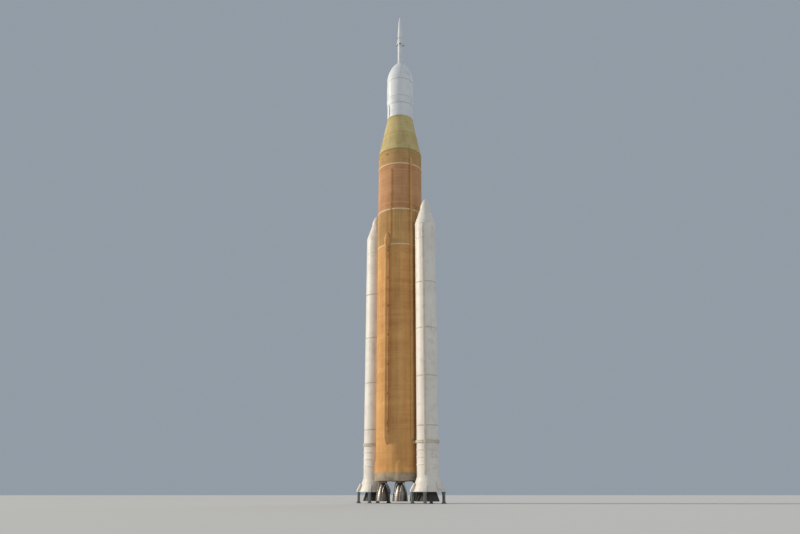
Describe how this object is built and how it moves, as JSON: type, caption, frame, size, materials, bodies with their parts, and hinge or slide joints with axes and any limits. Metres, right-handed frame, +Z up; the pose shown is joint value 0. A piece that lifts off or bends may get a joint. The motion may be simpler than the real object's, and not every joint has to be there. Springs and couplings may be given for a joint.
{
  "type": "space launch rocket scale model (1:10)",
  "caption": "Heavy launch rocket model, 1:10: foam-covered core stage, two solid boosters on support posts, crew spacecraft and abort tower, nozzles on gimbals.",
  "frame": {"origin": "on the floor under the middle of the core stage, which is the centre of the posts' feet", "axes": "+Z up along the core stage, X through the two boosters, -Y out on the front feedline's side"},
  "size_m": [1.822, 0.9926, 9.85],
  "materials": {
    "orange_foam": "matte",
    "tan_foam": "matte",
    "booster_white": "satin",
    "spacecraft_white": "satin",
    "nozzle_metal": "satin",
    "booster_nozzle": "matte",
    "bearing_steel": "satin",
    "base_shield": "matte",
    "post_paint": "satin"
  },
  "bodies": {
    "rocket": {"core_boat_tail": "base_shield", "core_engine_section": "orange_foam", "core_hydrogen_tank": "orange_foam", "core_intertank": "orange_foam", "core_oxygen_tank": "orange_foam", "core_forward_skirt": "orange_foam", "feedline_front": "orange_foam", "feedline_back": "orange_foam", "core_systems_tunnel": "orange_foam", "stage_adapter": "tan_foam", "upper_stage": "spacecraft_white", "spacecraft_adapter": "spacecraft_white", "service_panel_1": "spacecraft_white", "service_panel_2": "spacecraft_white", "service_panel_3": "spacecraft_white", "crew_fairing": "spacecraft_white", "abort_motor": "spacecraft_white", "jettison_motor": "spacecraft_white", "attitude_motor": "spacecraft_white", "abort_nose_cone": "spacecraft_white", "booster_right_aft_skirt": "booster_white", "booster_right_motor_case": "booster_white", "booster_right_forward_skirt": "booster_white", "booster_right_nose_cone": "booster_white", "booster_right_systems_tunnel": "booster_white", "booster_right_aft_attach_ring": "booster_white", "booster_right_thrust_fitting": "bearing_steel", "booster_right_support_post_1": "post_paint", "booster_right_support_post_2": "post_paint", "booster_right_support_post_3": "post_paint", "booster_right_support_post_4": "post_paint", "booster_left_aft_skirt": "booster_white", "booster_left_motor_case": "booster_white", "booster_left_forward_skirt": "booster_white", "booster_left_nose_cone": "booster_white", "booster_left_systems_tunnel": "booster_white", "booster_left_aft_attach_ring": "booster_white", "booster_left_thrust_fitting": "bearing_steel", "booster_left_support_post_1": "post_paint", "booster_left_support_post_2": "post_paint", "booster_left_support_post_3": "post_paint", "booster_left_support_post_4": "post_paint"},
    "engine_1_bearing": {"engine_1_gimbal_bearing": "bearing_steel"},
    "engine_1": {"engine_1_nozzle": "nozzle_metal"},
    "engine_2_bearing": {"engine_2_gimbal_bearing": "bearing_steel"},
    "engine_2": {"engine_2_nozzle": "nozzle_metal"},
    "engine_3_bearing": {"engine_3_gimbal_bearing": "bearing_steel"},
    "engine_3": {"engine_3_nozzle": "nozzle_metal"},
    "engine_4_bearing": {"engine_4_gimbal_bearing": "bearing_steel"},
    "engine_4": {"engine_4_nozzle": "nozzle_metal"},
    "booster_right_bearing": {"booster_right_flexible_bearing": "bearing_steel"},
    "booster_right_nozzle": {"booster_right_nozzle": "booster_nozzle"},
    "booster_left_bearing": {"booster_left_flexible_bearing": "bearing_steel"},
    "booster_left_nozzle": {"booster_left_nozzle": "booster_nozzle"}
  },
  "joints": [
    {"name": "engine_1_pitch", "type": "hinge", "parent": "rocket", "child": "engine_1_bearing", "pos_m": [-0.205, -0.205, 0.445], "axis": [1, 0, 0], "range_deg": [-8, 8]},
    {"name": "engine_1_yaw", "type": "hinge", "parent": "engine_1_bearing", "child": "engine_1", "pos_m": [-0.205, -0.205, 0.445], "axis": [0, 1, 0], "range_deg": [-8, 8]},
    {"name": "engine_2_pitch", "type": "hinge", "parent": "rocket", "child": "engine_2_bearing", "pos_m": [0.205, -0.205, 0.445], "axis": [1, 0, 0], "range_deg": [-8, 8]},
    {"name": "engine_2_yaw", "type": "hinge", "parent": "engine_2_bearing", "child": "engine_2", "pos_m": [0.205, -0.205, 0.445], "axis": [0, 1, 0], "range_deg": [-8, 8]},
    {"name": "engine_3_pitch", "type": "hinge", "parent": "rocket", "child": "engine_3_bearing", "pos_m": [0.205, 0.205, 0.445], "axis": [1, 0, 0], "range_deg": [-8, 8]},
    {"name": "engine_3_yaw", "type": "hinge", "parent": "engine_3_bearing", "child": "engine_3", "pos_m": [0.205, 0.205, 0.445], "axis": [0, 1, 0], "range_deg": [-8, 8]},
    {"name": "engine_4_pitch", "type": "hinge", "parent": "rocket", "child": "engine_4_bearing", "pos_m": [-0.205, 0.205, 0.445], "axis": [1, 0, 0], "range_deg": [-8, 8]},
    {"name": "engine_4_yaw", "type": "hinge", "parent": "engine_4_bearing", "child": "engine_4", "pos_m": [-0.205, 0.205, 0.445], "axis": [0, 1, 0], "range_deg": [-8, 8]},
    {"name": "booster_right_nozzle_pitch", "type": "hinge", "parent": "rocket", "child": "booster_right_bearing", "pos_m": [0.636, 0, 0.375], "axis": [1, 0, 0], "range_deg": [-5, 5]},
    {"name": "booster_right_nozzle_yaw", "type": "hinge", "parent": "booster_right_bearing", "child": "booster_right_nozzle", "pos_m": [0.636, 0, 0.375], "axis": [0, 1, 0], "range_deg": [-5, 5]},
    {"name": "booster_left_nozzle_pitch", "type": "hinge", "parent": "rocket", "child": "booster_left_bearing", "pos_m": [-0.636, 0, 0.375], "axis": [1, 0, 0], "range_deg": [-5, 5]},
    {"name": "booster_left_nozzle_yaw", "type": "hinge", "parent": "booster_left_bearing", "child": "booster_left_nozzle", "pos_m": [-0.636, 0, 0.375], "axis": [0, 1, 0], "range_deg": [-5, 5]}
  ]
}
